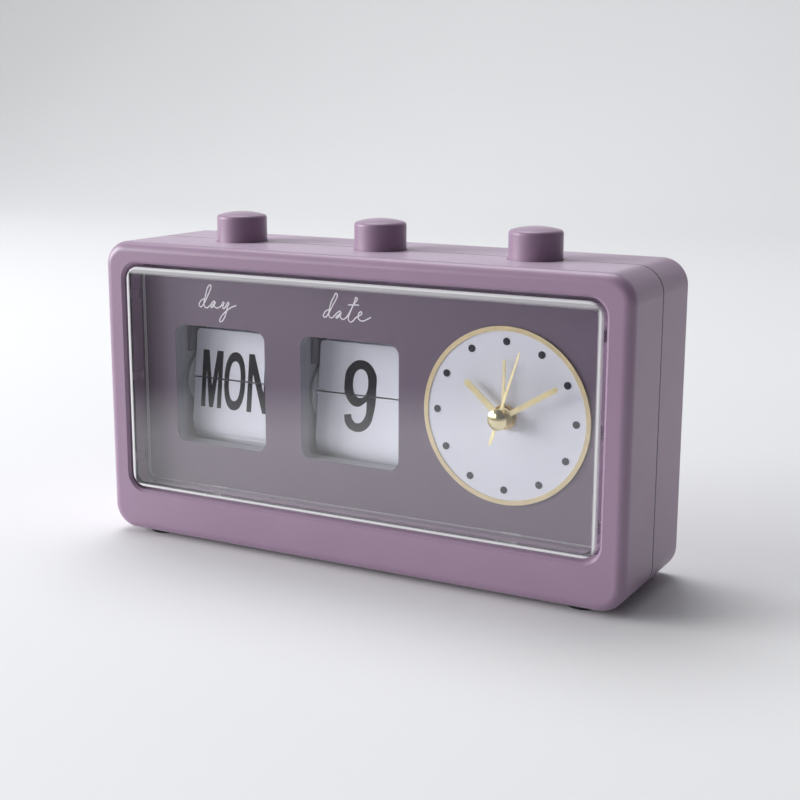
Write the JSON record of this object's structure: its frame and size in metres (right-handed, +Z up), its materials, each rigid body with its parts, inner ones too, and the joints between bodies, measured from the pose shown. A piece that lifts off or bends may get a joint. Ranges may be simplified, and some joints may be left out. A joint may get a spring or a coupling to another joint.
{
  "type": "desk clock with flip calendar",
  "caption": "Low rectangular desk clock with a round analogue dial, split-flap weekday and date windows behind one clear front, and push buttons on top.",
  "frame": {"origin": "middle of the footprint, on the surface the rubber feet stand on", "axes": "+X to the right as seen from the front, +Y from the front to the back, +Z up"},
  "size_m": [0.18, 0.048, 0.1065],
  "materials": {
    "case_plastic": "fine matt",
    "fascia_plastic": "fine matt",
    "clear_plastic": "polished",
    "white_plastic": "smooth",
    "leaf_plastic": "smooth",
    "dark_plastic": "smooth",
    "grey_plastic": "smooth",
    "natural_plastic": "smooth",
    "gold_metal": "satin",
    "steel": "satin",
    "copper_wire": "enamelled copper",
    "board": "lacquered",
    "battery_wrap": "satin",
    "rubber": "matt"
  },
  "bodies": {
    "case": {"front_shell": "case_plastic", "rear_shell": "case_plastic", "lens_cover": "clear_plastic", "fascia_panel": "fascia_plastic", "panel_screws": "steel", "case_screws": "steel", "rubber_feet": "rubber", "dial_plate": "white_plastic", "dial_ring": "gold_metal", "hour_dots": "dark_plastic", "centre_bush": "gold_metal", "leaf_guides": "dark_plastic", "day_frame": "dark_plastic", "date_frame": "dark_plastic", "day_axle": "steel", "date_axle": "steel", "day_click_spring": "steel", "date_click_spring": "steel", "day_button_spring": "steel", "date_button_spring": "steel", "alarm_button_spring": "steel", "movement_case": "dark_plastic", "movement_cover": "dark_plastic", "coil": "copper_wire", "stator": "steel", "circuit_board": "board", "quartz_crystal": "steel", "buzzer": "gold_metal", "battery": "battery_wrap", "battery_contacts": "steel"},
    "day_button": {"day_button": "case_plastic", "day_push_arm": "natural_plastic"},
    "date_button": {"date_button": "case_plastic", "date_push_arm": "natural_plastic"},
    "alarm_button": {"alarm_button": "case_plastic"},
    "stop_plunger": {"stop_plunger": "grey_plastic"},
    "day_drum": {"day_drum": "grey_plastic", "day_ratchet": "natural_plastic", "day_leaves": "leaf_plastic"},
    "date_drum": {"date_drum": "grey_plastic", "date_ratchet": "natural_plastic", "date_leaves": "leaf_plastic"},
    "day_flap": {"day_flap": "leaf_plastic"},
    "date_flap": {"date_flap": "leaf_plastic"},
    "second_hand": {"second_hand": "gold_metal", "seconds_wheel": "natural_plastic"},
    "minute_hand": {"minute_hand": "gold_metal", "minute_pinion": "natural_plastic"},
    "hour_hand": {"hour_hand": "gold_metal", "hour_wheel": "natural_plastic"},
    "alarm_hand": {"alarm_hand": "gold_metal", "alarm_wheel": "natural_plastic"},
    "motion_wheel": {"motion_wheel": "natural_plastic"},
    "centre_wheel": {"centre_wheel": "natural_plastic"},
    "third_wheel": {"third_wheel": "natural_plastic"},
    "fifth_wheel": {"fifth_wheel": "natural_plastic"},
    "rotor": {"rotor": "steel"},
    "time_knob": {"time_knob": "case_plastic"},
    "alarm_knob": {"alarm_knob": "case_plastic"},
    "battery_door": {"battery_door": "case_plastic"}
  },
  "joints": [
    {"name": "day_button_press", "type": "slide", "parent": "case", "child": "day_button", "axis": [0, 0, -1], "range_m": [0, 0.0023], "stiffness_N_per_m": 350, "springref_m": -0.004, "deforming": ["day_button_spring"]},
    {"name": "date_button_press", "type": "slide", "parent": "case", "child": "date_button", "axis": [0, 0, -1], "range_m": [0, 0.0023], "stiffness_N_per_m": 350, "springref_m": -0.004, "deforming": ["date_button_spring"]},
    {"name": "alarm_button_press", "type": "slide", "parent": "case", "child": "alarm_button", "axis": [0, 0, -1], "range_m": [0, 0.0023], "stiffness_N_per_m": 350, "springref_m": -0.004, "deforming": ["alarm_button_spring"]},
    {"name": "stop_plunger_press", "type": "slide", "parent": "case", "child": "stop_plunger", "axis": [0, 0, -1], "range_m": [0, 0.0023]},
    {"name": "day_drum_turn", "type": "hinge", "parent": "case", "child": "day_drum", "pos_m": [-0.0508, 0.0005, 0.0509], "axis": [1, 0, 0], "range_deg": [0, 17.14]},
    {"name": "day_flap_fall", "type": "hinge", "parent": "day_drum", "child": "day_flap", "pos_m": [-0.0508, -0.00576, 0.05264], "axis": [1, 0, 0], "range_deg": [0, 162.86]},
    {"name": "date_drum_turn", "type": "hinge", "parent": "case", "child": "date_drum", "pos_m": [-0.0028, 0.0005, 0.0509], "axis": [1, 0, 0], "range_deg": [0, 11.61]},
    {"name": "date_flap_fall", "type": "hinge", "parent": "date_drum", "child": "date_flap", "pos_m": [-0.0028, -0.00584, 0.05234], "axis": [1, 0, 0], "range_deg": [0, 168.39]},
    {"name": "minute_hand_turn", "type": "hinge", "parent": "case", "child": "minute_hand", "pos_m": [0.0497, 0, 0.0529], "axis": [0, 1, 0], "continuous": true},
    {"name": "hour_hand_turn", "type": "hinge", "parent": "case", "child": "hour_hand", "pos_m": [0.0497, 0, 0.0529], "axis": [0, 1, 0], "continuous": true},
    {"name": "motion_wheel_turn", "type": "hinge", "parent": "case", "child": "motion_wheel", "pos_m": [0.0377, 0, 0.0529], "axis": [0, 1, 0], "continuous": true},
    {"name": "time_knob_turn", "type": "hinge", "parent": "case", "child": "time_knob", "pos_m": [0.0317, 0, 0.04251], "axis": [0, 1, 0], "continuous": true},
    {"name": "alarm_hand_turn", "type": "hinge", "parent": "case", "child": "alarm_hand", "pos_m": [0.0497, 0, 0.0529], "axis": [0, 1, 0], "continuous": true},
    {"name": "alarm_knob_turn", "type": "hinge", "parent": "case", "child": "alarm_knob", "pos_m": [0.05306, 0, 0.04034], "axis": [0, 1, 0], "continuous": true},
    {"name": "second_hand_turn", "type": "hinge", "parent": "case", "child": "second_hand", "pos_m": [0.0497, 0, 0.0529], "axis": [0, 1, 0], "continuous": true},
    {"name": "fifth_wheel_turn", "type": "hinge", "parent": "case", "child": "fifth_wheel", "pos_m": [0.04803, 0, 0.06235], "axis": [0, 1, 0], "continuous": true},
    {"name": "rotor_turn", "type": "hinge", "parent": "case", "child": "rotor", "pos_m": [0.04657, 0, 0.07063], "axis": [0, 1, 0], "continuous": true},
    {"name": "third_wheel_turn", "type": "hinge", "parent": "case", "child": "third_wheel", "pos_m": [0.06194, 0, 0.0529], "axis": [0, 1, 0], "continuous": true},
    {"name": "centre_wheel_turn", "type": "hinge", "parent": "case", "child": "centre_wheel", "pos_m": [0.0497, 0, 0.0529], "axis": [0, 1, 0], "continuous": true},
    {"name": "battery_door_tilt", "type": "hinge", "parent": "case", "child": "battery_door", "pos_m": [0.0497, 0.024, 0.00695], "axis": [-1, 0, 0], "range_deg": [0, 50]}
  ],
  "couplings": [
    {"joint": "day_drum_turn", "follows": "day_button_press", "rad_per_m": 130.07},
    {"joint": "day_flap_fall", "follows": "day_button_press", "rad_per_m": 1235.7},
    {"joint": "date_drum_turn", "follows": "date_button_press", "rad_per_m": 88.112},
    {"joint": "date_flap_fall", "follows": "date_button_press", "rad_per_m": 1277.6},
    {"joint": "stop_plunger_press", "follows": "alarm_button_press", "ratio": 1},
    {"joint": "motion_wheel_turn", "follows": "time_knob_turn", "ratio": -0.33333},
    {"joint": "minute_hand_turn", "follows": "time_knob_turn", "ratio": 1},
    {"joint": "hour_hand_turn", "follows": "time_knob_turn", "ratio": 0.083333},
    {"joint": "alarm_hand_turn", "follows": "alarm_knob_turn", "ratio": -0.3},
    {"joint": "fifth_wheel_turn", "follows": "second_hand_turn", "ratio": -5},
    {"joint": "rotor_turn", "follows": "second_hand_turn", "ratio": 30},
    {"joint": "third_wheel_turn", "follows": "second_hand_turn", "ratio": -0.125},
    {"joint": "centre_wheel_turn", "follows": "second_hand_turn", "ratio": 0.016667}
  ]
}
